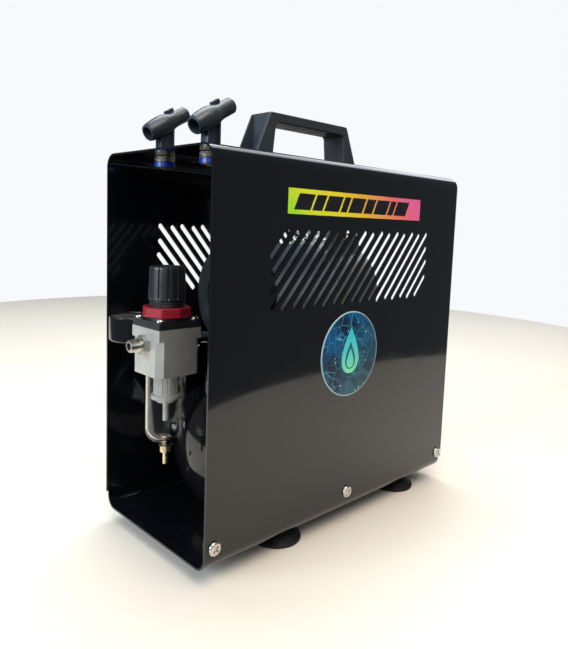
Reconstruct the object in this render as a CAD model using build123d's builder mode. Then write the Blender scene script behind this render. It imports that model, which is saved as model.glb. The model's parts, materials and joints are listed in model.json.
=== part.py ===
"""Airbrush compressor: a small piston pump, its air tank and a filter regulator in a
carry case of folded sheet steel, with two swivelling airbrush holders on top.

Millimetres. +Z is up, +X runs along the case away from the regulator, and the front
panel faces -Y. The origin is on the surface the feet stand on, under the middle of the
whole object.
"""

from build123d import *
from math import atan, cos, degrees, pi, radians, sin, tan
import os

# ---------------------------------------------------------------- driving dimensions
case_length = 320.0
case_depth = 150.0
case_height = 315.0
sheet = 1.5
bend = 11.0
foot_height = 12.5
nipple_reach = 20.6  # how far the air outlet stands out of the open end
running = 0.05  # radial clearance of a turning or sliding fit
gap = 0.3  # gap between parts that only lie close

left = (nipple_reach - case_length) / 2
right = left + case_length
middle = (left + right) / 2
front = -case_depth / 2
back = case_depth / 2
floor = foot_height
roof = floor + case_height

motor_z = floor + 196
tank_z = floor + 63
regulator_x = left + 13.5

front_panel = Plane(origin=(middle, front, floor), x_dir=(1, 0, 0), z_dir=(0, -1, 0))
back_panel = Plane(origin=(middle, back, floor), x_dir=(-1, 0, 0), z_dir=(0, 1, 0))


def save(piece, name):
    """Labels a finished piece and writes it as its own STEP file."""
    piece.label = name
    export_step(piece, f"parts/{name}.step")


def upright(z):
    """A horizontal sketch plane at height z."""
    return Plane.XY.offset(z)


def across(x):
    """A plane at x that faces +X, with +Y to the right and +Z up."""
    return Plane.YZ.offset(x)


os.makedirs("parts", exist_ok=True)

# ---------------------------------------------------------------- cover
cover_edge = 13.5  # height of the cover's lower edge above the case's underside
vent_width = 211.0
vent_height = 61.0
vent_bottom = 194.5
vent_offset = 3.0  # the vent field lies a little off the panel's middle
vent_pitch = 12.05
vent_angle = 49.5
vent_slot = 4.6
vent_stagger = 1.7  # every other slot is this much longer at each end
screw_height = 19.5
screw_places = [-151.4, 0, 151.4]
screw_hole = 4.4
holder_x = left + 30.0
holder_spacing = 63.4
holder_places = [(holder_x, -holder_spacing / 2), (holder_x, holder_spacing / 2)]
shank_radius = 5.9
handle_places = [(middle - 58.5, 0), (middle + 58.5, 0)]


def vent_slots():
    """Middle and length of each slanted slot, cut short by the sides of the vent field."""
    slope = tan(radians(vent_angle))
    side = vent_width / 2
    slots = []
    for index in range(-3, 17):
        foot = vent_offset - side + 1 + vent_pitch * index
        low = max(0, (vent_offset - side - foot) * slope)
        high = min(vent_height, (vent_offset + side - foot) * slope)
        extra = vent_stagger if index % 2 else 0
        centre = (foot + (low + high) / 2 / slope, vent_bottom + (low + high) / 2)
        slots.append((centre, (high - low) / sin(radians(vent_angle)) + 2 * extra))
    return slots


with BuildPart() as cover:
    with BuildSketch(across(left)):
        with Locations((0, floor + (cover_edge + case_height) / 2)):
            outer = Rectangle(case_depth, case_height - cover_edge)
        fillet(outer.vertices().group_by(Axis.Y)[-1], radius=bend)
    extrude(amount=case_length)
    with BuildSketch(across(left)):
        with Locations((0, floor + (cover_edge + case_height) / 2 - sheet)):
            inner = Rectangle(case_depth - 2 * sheet, case_height - cover_edge)
        fillet(inner.vertices().group_by(Axis.Y)[-1], radius=bend - sheet)
    extrude(amount=case_length, mode=Mode.SUBTRACT)
    for panel in (front_panel, back_panel):
        with BuildSketch(panel):
            for centre, length in vent_slots():
                with Locations(centre):
                    SlotOverall(length, vent_slot, rotation=vent_angle)
            with Locations(*[(place, screw_height) for place in screw_places]):
                Circle(screw_hole / 2)
        extrude(amount=-2 * sheet, mode=Mode.SUBTRACT)
    with BuildSketch(upright(roof)):
        with Locations(*holder_places):
            Circle(shank_radius + gap)
        with Locations(*handle_places):
            Circle(2.7)
    extrude(amount=-2 * sheet, mode=Mode.SUBTRACT)
save(cover.part, "cover")

# ---------------------------------------------------------------- base tray
tray_width = case_depth - 2 * sheet - 0.4
tray_height = 28.0
foot_places = [
    ("front_left", left + 97, -49),
    ("front_right", left + 267, -49),
    ("rear_left", left + 97, 49),
    ("rear_right", left + 267, 49),
]
foot_centres = [(x, y) for name, x, y in foot_places]
saddle_places = [left + 95, left + 245]
panel_x = right - 14.0
panel_y = 46.0
panel_width = 32.0

with BuildPart() as base_tray:
    with BuildSketch(across(left + 1)):
        with Locations((0, floor + tray_height / 2)):
            outer = Rectangle(tray_width, tray_height)
        fillet(outer.vertices().group_by(Axis.Y)[0], radius=bend)
    extrude(amount=case_length - 2)
    with BuildSketch(across(left + 1)):
        with Locations((0, floor + tray_height / 2 + sheet)):
            inner = Rectangle(tray_width - 2 * sheet, tray_height)
        fillet(inner.vertices().group_by(Axis.Y)[0], radius=bend - sheet)
    extrude(amount=case_length - 2, mode=Mode.SUBTRACT)
    for panel in (front_panel, back_panel):
        with BuildSketch(panel.offset(tray_width / 2 - sheet - case_depth / 2)):
            with Locations(*[(place, screw_height) for place in screw_places]):
                Circle(4.5)
        extrude(amount=-5)
        with BuildSketch(panel):
            with Locations(*[(place, screw_height) for place in screw_places]):
                Circle(screw_hole / 2)
        extrude(amount=-12, mode=Mode.SUBTRACT)
    with BuildSketch(upright(floor)):
        with Locations(*foot_centres):
            Circle(screw_hole / 2)
    extrude(amount=2 * sheet, mode=Mode.SUBTRACT)
save(base_tray.part, "base_tray")


# ---------------------------------------------------------------- screws
def pan_screws(plane, places, head_radius, head_height, shank, length, socket=0.22):
    """Cross-recessed pan-head screws at places on plane, their shanks going into it.
    They are added to the part that is being built."""
    with BuildSketch(plane) as heads:
        with Locations(*places):
            Circle(head_radius)
    extrude(heads.sketch, amount=head_height)
    rims = edges(Select.LAST).filter_by(GeomType.CIRCLE)
    outer_rims = rims.filter_by(lambda edge: plane.to_local_coords(edge.center()).Z > 0.1)
    fillet(outer_rims, radius=0.7 * head_height)
    with BuildSketch(plane) as shanks:
        with Locations(*places):
            Circle(shank)
    extrude(shanks.sketch, amount=-length)
    with BuildSketch(plane.offset(head_height)) as sockets:
        with Locations(*places):
            Rectangle(1.1 * head_radius, socket * head_radius, rotation=45)
            Rectangle(1.1 * head_radius, socket * head_radius, rotation=-45)
    extrude(sockets.sketch, amount=-0.55 * head_height, mode=Mode.SUBTRACT)


with BuildPart() as cover_screws:
    for panel in (front_panel, back_panel):
        pan_screws(panel, [(place, screw_height) for place in screw_places], 5.5, 2.4, 2.0, 9)
save(cover_screws.part, "cover_screws")

# ---------------------------------------------------------------- feet
foot_radius = 22.0

for name, x, y in foot_places:
    foot_plane = Plane(origin=(x, y, 0), x_dir=(1, 0, 0), z_dir=(0, -1, 0))
    with BuildPart() as foot:
        with BuildSketch(foot_plane):
            with BuildLine():
                Polyline(
                    (2.1, 7.5),
                    (5.6, 7.5),
                    (5.6, 4.6),
                    (8, 4.6),
                    (19, 1.4),
                    (20.2, 0),
                    (foot_radius - 0.4, 0),
                    (foot_radius, 0.6),
                    (foot_radius, 2.4),
                    (16, 6.6),
                    (12.5, 8.6),
                    (12.5, foot_height),
                    (2.1, foot_height),
                    close=True,
                )
            make_face()
        revolve(axis=Axis((x, y, 0), (0, 0, 1)))
    save(foot.part, f"foot_{name}")

# ---------------------------------------------------------------- carry handle
handle_plane = Plane(origin=(middle, 0, roof), x_dir=(1, 0, 0), z_dir=(0, -1, 0))
handle_half = 13.5
handle_height = 43.0
handle_bottom = 69.3
handle_top = 51.0
grip_bottom = 48.5
grip_top = 44.9
grip_height = 34.5
handle_wall = 3.0
handle_shift = 1.0  # the outline sits this far left of the opening
handle_corner = 2.5
grip_corner = 3.5
leg_web = handle_top + 0.5  # from here out the legs are hollow between their plates
foot_block = 6.0
pocket_width = 25.0

with BuildPart() as carry_handle:
    with BuildSketch(handle_plane):
        with BuildLine():
            Polyline(
                (-handle_bottom - handle_shift, 0),
                (handle_bottom - handle_shift, 0),
                (handle_top - handle_shift, handle_height),
                (-handle_top - handle_shift, handle_height),
                close=True,
            )
        make_face()
        fillet(vertices().group_by(Axis.Y)[-1], radius=handle_corner)
        with BuildLine():
            Polyline(
                (-grip_bottom - 0.6, -5),
                (grip_bottom + 0.6, -5),
                (grip_top, grip_height),
                (-grip_top, grip_height),
                close=True,
            )
        make_face(mode=Mode.SUBTRACT)
        fillet(vertices().group_by(Axis.Y)[1], radius=grip_corner)
    extrude(amount=handle_half, both=True)
    edge_loop = faces().filter_by(Axis.Y).edges()
    fillet(edge_loop.filter_by(lambda edge: edge.center().Z > roof + 1), radius=1.2)
    with BuildSketch(handle_plane):
        for side in (-1, 1):
            pocket = side * (leg_web + pocket_width / 2)
            with Locations((pocket, foot_block + handle_height / 2)):
                Rectangle(pocket_width, handle_height)
    extrude(amount=handle_half - handle_wall, both=True, mode=Mode.SUBTRACT)
    with BuildSketch(upright(roof)):
        with Locations(*handle_places):
            Circle(2.1)
    extrude(amount=foot_block - 0.8, mode=Mode.SUBTRACT)
save(carry_handle.part, "carry_handle")

with BuildPart() as case_screws:
    under_feet = Plane(origin=(0, 0, 7.5 - running), x_dir=(1, 0, 0), z_dir=(0, 0, -1))
    pan_screws(under_feet, [(x, -y) for x, y in foot_centres], 4.4, 2.2, 2.0, 11)
    under_roof = Plane(origin=(0, 0, roof - sheet), x_dir=(1, 0, 0), z_dir=(0, 0, -1))
    pan_screws(under_roof, handle_places, 5.2, 2.6, 2.0, 6.5)
save(case_screws.part, "case_screws")

# ---------------------------------------------------------------- stickers
badge_radius = 38.0
badge_height = 148.5
badge_offset = -4.5
banner_length = 179.5
banner_width = 20.0
banner_height = 278.7
banner_offset = 2.3

with BuildPart() as banner_sticker:
    with BuildSketch(front_panel):
        with Locations((banner_offset, banner_height)):
            RectangleRounded(banner_length, banner_width, 0.8)
    extrude(amount=0.3)
save(banner_sticker.part, "banner_sticker")

with BuildPart() as round_badge:
    with BuildSketch(front_panel):
        with Locations((badge_offset, badge_height)):
            Circle(badge_radius)
    extrude(amount=0.8)
    fillet(edges().filter_by(GeomType.CIRCLE).sort_by(Axis.Y)[0], radius=0.5)
save(round_badge.part, "round_badge")

# ---------------------------------------------------------------- airbrush holders
lift = 1.4  # how far a holder pulls up against its spring
holder_tilt = degrees(atan(22.5 / 40))
cradle_height = 26.0  # middle of the cradle above the roof
cradle_length = 43.0
cradle_offset = 1.5
collar_bottom = roof - 10.1
wire = 0.7
spring_turns = 4
spring_bottom = collar_bottom + 3.6
spring_top = roof - sheet

for name, y, turn in (("front", -holder_spacing / 2, 6), ("rear", holder_spacing / 2, 1.5)):
    ahead = (cos(radians(turn)), sin(radians(turn)))
    side_plane = Plane(
        origin=(holder_x, y, roof),
        x_dir=(ahead[0], ahead[1], 0),
        z_dir=(ahead[1], -ahead[0], 0),
    )
    rise = tan(radians(holder_tilt))
    cradle = Plane(
        origin=(holder_x + cradle_offset * ahead[0], y + cradle_offset * ahead[1], roof + cradle_height),
        x_dir=(-ahead[1], ahead[0], 0),
        z_dir=(ahead[0], ahead[1], rise),
    )
    with BuildPart() as holder:
        with BuildSketch(cradle.offset(-cradle_length / 2)):
            Circle(6.8)
        with BuildSketch(cradle.offset(-5)):
            Circle(8.6)
        with BuildSketch(cradle.offset(cradle_length / 2)):
            Circle(6.3)
        loft(ruled=True)
        with BuildSketch(side_plane):
            with Locations((0, 12.5)):
                Rectangle(13, 24)
            with Locations((0, 1)):
                Rectangle(19, 2)
        extrude(amount=4.2, both=True)
        with BuildSketch(side_plane.offset(4.2)):
            with Locations((0, 13)):
                Rectangle(9, 17)
        extrude(amount=-2.4, mode=Mode.SUBTRACT)
        with BuildSketch(side_plane.offset(-4.2)):
            with Locations((0, 13)):
                Rectangle(9, 17)
        extrude(amount=2.4, mode=Mode.SUBTRACT)
        with BuildSketch(side_plane):
            with Locations((3.5, cradle_height + 10.6)):
                Rectangle(7, 4, rotation=holder_tilt)
        extrude(amount=2.5, both=True)
        with BuildSketch(cradle.offset(-cradle_length / 2 - 1)):
            Circle(5.0)
        with BuildSketch(cradle.offset(cradle_length / 2 + 1)):
            Circle(4.6)
        loft(mode=Mode.SUBTRACT)
        with BuildSketch(upright(roof)):
            with Locations((holder_x, y)):
                Circle(shank_radius)
        extrude(amount=-(roof - collar_bottom))
        with BuildSketch(upright(collar_bottom - running)):
            with Locations((holder_x, y)):
                Circle(8.2)
        extrude(amount=-0.8)
        with BuildSketch(upright(collar_bottom)):
            with Locations((holder_x, y)):
                Circle(3)
        extrude(amount=-2.2)
    save(holder.part, f"airbrush_holder_{name}")

    with BuildPart() as bush:
        with BuildSketch(upright(collar_bottom)):
            with Locations((holder_x, y)):
                Circle(8.6)
        extrude(amount=spring_bottom - collar_bottom)
        with BuildSketch(upright(collar_bottom)):
            with Locations((holder_x, y)):
                Circle(shank_radius + running)
        extrude(amount=spring_bottom - collar_bottom, mode=Mode.SUBTRACT)
    save(bush.part, f"holder_bush_{name}")

    with BuildPart() as spring:
        coil_height = spring_top - spring_bottom - wire
        with BuildLine() as coil:
            Helix(
                pitch=coil_height / spring_turns,
                height=coil_height,
                radius=8.2,
                center=(holder_x, y, spring_bottom + wire / 2),
            )
        with BuildSketch(Plane(coil.line @ 0, z_dir=coil.line % 0)):
            Circle(wire / 2)
        sweep(is_frenet=True)
    save(spring.part, f"holder_spring_{name}")

# ---------------------------------------------------------------- filter regulator
body_half = 20.0
body_bottom = floor + 138
body_shoulder = floor + 167
body_top = floor + 176
port_z = floor + 162.5
bonnet_plate = 6.0
boss_height = 2.6  # of the round boss under the ring nut
ring_height = 7.2
thread_radius = 15.0
neck_radius = 13.9
bonnet_top = body_top + 21.0
ring_bottom = body_top + bonnet_plate + boss_height
spindle_radius = 4.0
knob_height = 26.8
knob_radius = 15.1
bowl_radius = 16.75
bowl_bottom = floor + 78.7
bowl_wall = 1.8
socket_depth = 6.0
centre = (regulator_x, 0)
screw_spacing = 15.6  # of the bonnet screws, from the regulator's axis
corners = [
    (regulator_x + screw_spacing * x, screw_spacing * y) for x in (-1, 1) for y in (-1, 1)
]
port_plane = Plane(origin=(regulator_x - body_half, 0, port_z), x_dir=(0, 1, 0), z_dir=(-1, 0, 0))
gauge_plane = Plane(origin=(regulator_x, body_half, port_z), x_dir=(-1, 0, 0), z_dir=(0, 1, 0))
inlet_plane = Plane(origin=(regulator_x + body_half, 0, port_z), x_dir=(0, 1, 0), z_dir=(1, 0, 0))

with BuildPart() as regulator_body:
    with BuildSketch(upright(body_bottom)):
        with Locations(centre):
            block = Rectangle(2 * body_half, 2 * body_half)
        chamfer(block.vertices(), length=5)
    extrude(amount=body_shoulder - body_bottom)
    with BuildSketch(upright(body_shoulder)):
        with Locations(centre):
            block = Rectangle(2 * body_half, 2 * body_half)
        fillet(block.vertices(), radius=1.2)
    extrude(amount=body_top - body_shoulder)
    with BuildSketch(upright(body_bottom)):
        with Locations(centre):
            Circle(bowl_radius + running)
    extrude(amount=socket_depth, mode=Mode.SUBTRACT)
    with BuildSketch(upright(body_top)):
        with Locations(centre):
            Circle(14)
    extrude(amount=-10, mode=Mode.SUBTRACT)
    with BuildSketch(upright(body_bottom)):
        with Locations(centre):
            Circle(3)
    extrude(amount=body_top - body_bottom, mode=Mode.SUBTRACT)
    for plane in (port_plane, gauge_plane, inlet_plane):
        with BuildSketch(plane):
            Circle(4.9)
        extrude(amount=-9, mode=Mode.SUBTRACT)
    with BuildSketch(upright(body_top)):
        with Locations(*corners):
            Circle(1.5)
    extrude(amount=-8, mode=Mode.SUBTRACT)
save(regulator_body.part, "regulator_body")

with BuildPart() as bonnet:
    with BuildSketch(upright(body_top)):
        with Locations(centre):
            plate = Rectangle(2 * body_half, 2 * body_half)
        fillet(plate.vertices(), radius=2)
    extrude(amount=bonnet_plate)
    with BuildSketch(upright(body_top + bonnet_plate)):
        with Locations(centre):
            Circle(17)
    extrude(amount=boss_height)
    with BuildSketch(upright(ring_bottom)):
        with Locations(centre):
            Circle(thread_radius)
    extrude(amount=ring_height)
    with BuildSketch(upright(ring_bottom + ring_height)):
        with Locations(centre):
            Circle(neck_radius)
    extrude(amount=bonnet_top - ring_bottom - ring_height)
    with BuildSketch(upright(body_top)):
        with Locations(centre):
            Circle(10.5)
    extrude(amount=14, mode=Mode.SUBTRACT)
    with BuildSketch(upright(body_top)):
        with Locations(centre):
            Circle(spindle_radius + running)
        with Locations(*corners):
            Circle(1.7)
    extrude(amount=bonnet_top - body_top, mode=Mode.SUBTRACT)
save(bonnet.part, "bonnet")

with BuildPart() as bonnet_screws:
    pan_screws(upright(body_top + bonnet_plate), corners, 3.9, 2.2, 1.5, 12)
save(bonnet_screws.part, "bonnet_screws")

with BuildPart() as ring_nut:
    with BuildSketch(upright(ring_bottom)):
        with Locations(centre):
            rim = RegularPolygon(19.6, 8)
            fillet(rim.vertices(), radius=3)
            Circle(thread_radius + running, mode=Mode.SUBTRACT)
    extrude(amount=ring_height)
    chamfer(faces().sort_by(Axis.Z)[-1].outer_wire().edges(), length=0.6)
    with BuildSketch(upright(ring_bottom)):
        with Locations(centre):
            lip = RegularPolygon(20.5, 8)
            fillet(lip.vertices(), radius=3)
            Circle(thread_radius + running, mode=Mode.SUBTRACT)
    extrude(amount=1.4)
save(ring_nut.part, "ring_nut")

with BuildPart() as regulator_knob:
    with BuildSketch(upright(bonnet_top + gap)):
        with Locations(centre):
            Circle(knob_radius)
    extrude(amount=knob_height, taper=1.5)
    fillet(edges().filter_by(GeomType.CIRCLE).sort_by(Axis.Z)[-1], radius=1.2)
    with BuildSketch(upright(bonnet_top + gap)):
        with Locations(centre):
            with PolarLocations(knob_radius + 0.2, 12):
                Circle(1.3)
    extrude(amount=knob_height, mode=Mode.SUBTRACT)
    with BuildSketch(upright(bonnet_top + gap)):
        with Locations(centre):
            RegularPolygon(spindle_radius + running, 6, major_radius=False)
    extrude(amount=20, mode=Mode.SUBTRACT)
save(regulator_knob.part, "regulator_knob")

seat_z = body_top + 7
with BuildPart() as adjusting_spindle:
    with BuildSketch(upright(body_top + 3)):
        with Locations(centre):
            Circle(spindle_radius)
    extrude(amount=bonnet_top - body_top - 3 + gap)
    with BuildSketch(upright(seat_z)):
        with Locations(centre):
            Circle(9.5)
    extrude(amount=2.5)
    with BuildSketch(upright(bonnet_top + gap)):
        with Locations(centre):
            RegularPolygon(spindle_radius, 6, major_radius=False)
    extrude(amount=16)
save(adjusting_spindle.part, "adjusting_spindle")

diaphragm_z = body_top - 10
with BuildPart() as range_spring:
    coil_height = seat_z - diaphragm_z - 1.8 - 2 * gap
    with BuildLine() as coil:
        Helix(
            pitch=coil_height / 4,
            height=coil_height,
            radius=7.6,
            center=(regulator_x, 0, diaphragm_z + 0.9 + gap),
        )
    with BuildSketch(Plane(coil.line @ 0, z_dir=coil.line % 0)):
        Circle(0.9)
    sweep(is_frenet=True)
save(range_spring.part, "range_spring")

# ---------------------------------------------------------------- filter bowl and drain
bowl_plane = Plane(origin=(regulator_x, 0, 0), x_dir=(1, 0, 0), z_dir=(0, -1, 0))
bowl_axis = Axis((regulator_x, 0, 0), (0, 0, 1))
bowl_top = body_bottom + socket_depth - running
boss_bottom = bowl_bottom - 2.5

with BuildPart() as filter_bowl:
    with BuildSketch(bowl_plane):
        with BuildLine():
            Polyline((5.5, bowl_bottom), (5.5, boss_bottom), (2, boss_bottom), (2, bowl_bottom + 3))
            Line((2, bowl_bottom + 3), (6, bowl_bottom + 3))
            RadiusArc((6, bowl_bottom + 3), (bowl_radius - bowl_wall, bowl_bottom + 13), -10)
            Line((bowl_radius - bowl_wall, bowl_bottom + 13), (bowl_radius - bowl_wall, bowl_top))
            Line((bowl_radius - bowl_wall, bowl_top), (bowl_radius, bowl_top))
            Line((bowl_radius, bowl_top), (bowl_radius, bowl_bottom + 12))
            RadiusArc((bowl_radius, bowl_bottom + 12), (5.5, bowl_bottom), 12)
        make_face()
    revolve(axis=bowl_axis)
save(filter_bowl.part, "filter_bowl")

collar_top = body_bottom + socket_depth
with BuildPart() as filter_cage:
    with BuildSketch(upright(collar_top)):
        with Locations(centre):
            Circle(10)
            with PolarLocations(10.4, 16):
                Circle(0.9, mode=Mode.SUBTRACT)
            Circle(3.2, mode=Mode.SUBTRACT)
    extrude(amount=-24.5)
    with BuildSketch(upright(floor + 119.5)):
        with Locations(centre):
            Circle(12)
            Circle(3.2, mode=Mode.SUBTRACT)
    extrude(amount=-3)
    with BuildSketch(upright(floor + 116.5)):
        with Locations(centre):
            Circle(7.2)
    extrude(amount=-3.2)
    with BuildSketch(upright(floor + 113.3)):
        with Locations(centre):
            Circle(2.2)
    extrude(amount=-16)
save(filter_cage.part, "filter_cage")

drain_tip = floor + 60.3
with BuildPart() as drain_collar:
    with BuildSketch(upright(boss_bottom)):
        with Locations(centre):
            Circle(4.15)
    extrude(amount=floor + 70.6 - boss_bottom)
    with BuildSketch(upright(floor + 70.6)):
        with Locations(centre):
            Circle(1.5 + running)
    extrude(amount=10, mode=Mode.SUBTRACT)
save(drain_collar.part, "drain_collar")

with BuildPart() as drain_valve:
    with BuildSketch(upright(floor + 69.0)):
        with Locations(centre):
            Circle(1.9)
    extrude(amount=drain_tip - floor - 69.0)
    with BuildSketch(upright(floor + 69.0)):
        with Locations(centre):
            Circle(1.5)
    extrude(amount=bowl_bottom + 3 + gap - floor - 69.0)
    with BuildSketch(upright(bowl_bottom + 3 + gap)):
        with Locations(centre):
            Circle(3.6)
    extrude(amount=1.6)
    for step in (1.5, 4.5, 7.5):
        with BuildSketch(upright(drain_tip + step)):
            with Locations(centre):
                Circle(2.3)
        extrude(amount=-1.4, taper=24)
save(drain_valve.part, "drain_valve")

# ---------------------------------------------------------------- air ports and gauge
nipple_radius = 4.86

with BuildPart() as outlet_nipple:
    with BuildSketch(port_plane):
        RegularPolygon(7, 6, major_radius=False, rotation=30)
    extrude(amount=5)
    with BuildSketch(port_plane):
        Circle(nipple_radius)
    extrude(amount=nipple_reach - (left - regulator_x + body_half))
    chamfer(faces().sort_by(Axis.X)[0].edges(), length=0.7)
    with BuildSketch(port_plane):
        Circle(4.85)
    extrude(amount=-8)
    with BuildSketch(port_plane.offset(30)):
        Circle(2.75)
    extrude(amount=-40, mode=Mode.SUBTRACT)
save(outlet_nipple.part, "outlet_nipple")

gauge_radius = 21.0
gauge_depth = 21.5
gauge_y = 51.5
gauge_bottom = floor + 156
gauge_top = gauge_bottom + gauge_depth
gauge_rim = 1.9
stem_length = 8.0
dial_z = gauge_top - 3.6
gauge_centre = (regulator_x, gauge_y)

with BuildPart() as gauge_stem:
    with BuildSketch(gauge_plane):
        Circle(4.85)
    extrude(amount=-8)
    with BuildSketch(gauge_plane):
        RegularPolygon(6, 6, major_radius=False)
    extrude(amount=stem_length)
save(gauge_stem.part, "gauge_stem")

with BuildPart() as gauge_case:
    with BuildSketch(upright(gauge_bottom)):
        with Locations(gauge_centre):
            Circle(gauge_radius)
    extrude(amount=gauge_depth)
    fillet(edges().filter_by(GeomType.CIRCLE).sort_by(Axis.Z)[0], radius=2)
    fillet(edges().filter_by(GeomType.CIRCLE).sort_by(Axis.Z)[-1], radius=0.8)
    with BuildSketch(gauge_plane.offset(stem_length)):
        Circle(5.5)
    extrude(amount=gauge_y - body_half - stem_length)
    with BuildSketch(upright(gauge_top)):
        with Locations(gauge_centre):
            Circle(gauge_radius - gauge_rim)
    extrude(amount=dial_z - gauge_top, mode=Mode.SUBTRACT)
save(gauge_case.part, "gauge_case")

with BuildPart() as gauge_dial:
    with BuildSketch(upright(dial_z)):
        with Locations(gauge_centre):
            Circle(gauge_radius - gauge_rim - running)
    extrude(amount=0.8)
    with BuildSketch(upright(dial_z + 0.8)):
        with Locations(gauge_centre):
            Circle(0.5)
    extrude(amount=0.9)
save(gauge_dial.part, "gauge_dial")

needle_plane = Plane(origin=(regulator_x, gauge_y, dial_z + 1.0), x_dir=(-1, 1, 0), z_dir=(0, 0, 1))
with BuildPart() as gauge_needle:
    with BuildSketch(needle_plane):
        Circle(2.2)
        with BuildLine():
            Polyline((-4.5, -0.9), (-4.5, 0.9), (14.5, 0.3), (14.5, -0.3), close=True)
        make_face()
        Circle(0.5 + running, mode=Mode.SUBTRACT)
    extrude(amount=0.4)
save(gauge_needle.part, "gauge_needle")

with BuildPart() as gauge_lens:
    with BuildSketch(upright(gauge_top - 1.4)):
        with Locations(gauge_centre):
            Circle(gauge_radius - gauge_rim - running)
    extrude(amount=1.2)
save(gauge_lens.part, "gauge_lens")

# ---------------------------------------------------------------- air tank
tank_radius = 55.0
tank_wall = 2.0
tank_start = left + 38
tank_end = left + 300
dome = 20.0
knuckle = 16.0  # radius between a dished end and the barrel
tank_axis = Axis((0, 0, tank_z), (1, 0, 0))
tank_plane = Plane(origin=(0, 0, tank_z), x_dir=(1, 0, 0), z_dir=(0, -1, 0))
inlet_port_x = left + 63
check_port_x = left + 244
manifold_x = left + 272
drain_port_x = left + 272
top_ports = [(inlet_port_x, 0), (check_port_x, 0), (manifold_x, 0)]


def tank_outline(radius, start, end, depth):
    """Half outline of a tank with dished ends, closed along its axis."""
    crown = (radius**2 + depth**2) / (2 * depth)
    half_turn = atan(radius / (crown - depth)) / 2
    inset = crown * (1 - cos(half_turn))
    rise = crown * sin(half_turn)
    Line((start, 0), (end, 0))
    ThreePointArc((end, 0), (end - inset, rise), (end - depth, radius))
    Line((end - depth, radius), (start + depth, radius))
    ThreePointArc((start + depth, radius), (start + inset, rise), (start, 0))


with BuildPart() as tank:
    with BuildSketch(tank_plane):
        with BuildLine():
            tank_outline(tank_radius, tank_start, tank_end, dome)
        make_face()
        fillet(vertices().group_by(Axis.Y)[-1], radius=knuckle)
    revolve(axis=tank_axis)
    with BuildSketch(upright(tank_z + tank_radius - 6)):
        with Locations(*top_ports):
            Circle(9)
    extrude(amount=9)
    with BuildSketch(upright(tank_z - tank_radius + 4)):
        with Locations((drain_port_x, 0)):
            Circle(8)
    extrude(amount=-6)
    with BuildSketch(tank_plane):
        with BuildLine():
            tank_outline(
                tank_radius - tank_wall,
                tank_start + tank_wall,
                tank_end - tank_wall,
                dome - tank_wall,
            )
        make_face()
        fillet(vertices().group_by(Axis.Y)[-1], radius=knuckle - tank_wall)
    revolve(axis=tank_axis, mode=Mode.SUBTRACT)
    with BuildSketch(upright(tank_z + tank_radius + 5)):
        with Locations(*top_ports):
            Circle(5)
    extrude(amount=-20, mode=Mode.SUBTRACT)
    with BuildSketch(upright(tank_z - tank_radius - 2)):
        with Locations((drain_port_x, 0)):
            RegularPolygon(5.5, 6, major_radius=False)
    extrude(amount=-4)
save(tank.part, "tank")

port_top = tank_z + tank_radius + 3
with BuildPart() as tank_saddles:
    for x in saddle_places:
        with BuildSketch(across(x)):
            with Locations((0, floor + sheet + 20)):
                Rectangle(84, 40)
            with Locations((0, tank_z)):
                Circle(tank_radius + running, mode=Mode.SUBTRACT)
        extrude(amount=1.5, both=True)
    with BuildSketch(upright(floor + sheet)):
        with Locations(*[(x, y) for x in saddle_places for y in (-33, 33)]):
            Rectangle(20, 18)
    extrude(amount=3)
save(tank_saddles.part, "tank_saddles")

# ---------------------------------------------------------------- motor and pump
shaft_radius = 5.0
motor_radius = 46.6
cap_x = left + 76
can_x = left + 92
case_x = left + 170
case_end = left + 226
cylinder_x = left + 200
crank = 4.0  # half the piston's stroke
pin_z = motor_z - crank
pin_radius = 4.5
head_bottom = motor_z + 72
head_top = motor_z + 90
bore_radius = 15.0

with BuildPart() as motor_end_cap:
    with BuildSketch(across(cap_x)):
        with Locations((0, motor_z)):
            Circle(motor_radius)
    extrude(amount=can_x - cap_x)
    fillet(edges().filter_by(GeomType.CIRCLE).sort_by(Axis.X)[0], radius=3)
    with BuildSketch(across(cap_x)):
        with Locations((0, motor_z)):
            Circle(30)
            Circle(13, mode=Mode.SUBTRACT)
    extrude(amount=1.2, mode=Mode.SUBTRACT)
    with BuildSketch(across(can_x)):
        with Locations((0, motor_z)):
            Circle(motor_radius - 2.4)
            Circle(9, mode=Mode.SUBTRACT)
    extrude(amount=3 - (can_x - cap_x), mode=Mode.SUBTRACT)
    with BuildSketch(across(cap_x + 6)):
        with Locations((0, motor_z)):
            Circle(9.1)
    extrude(amount=20, mode=Mode.SUBTRACT)
    with BuildSketch(across(cap_x + 3)):
        with Locations((0, motor_z)):
            Circle(shaft_radius + running)
    extrude(amount=20, mode=Mode.SUBTRACT)
    with BuildSketch(across(can_x)):
        with Locations((0, motor_z)):
            with PolarLocations(motor_radius, 18):
                Rectangle(7, 6)
    extrude(amount=-9, mode=Mode.SUBTRACT)
save(motor_end_cap.part, "motor_end_cap")

with BuildPart() as motor_can:
    with BuildSketch(across(can_x)):
        with Locations((0, motor_z)):
            Circle(motor_radius)
            Circle(motor_radius - 2, mode=Mode.SUBTRACT)
    extrude(amount=case_x - can_x)
    with BuildSketch(across(can_x + 20)):
        with Locations((0, motor_z)):
            Circle(motor_radius - 1)
            Circle(25.6, mode=Mode.SUBTRACT)
    extrude(amount=40)
save(motor_can.part, "motor_can")

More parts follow.
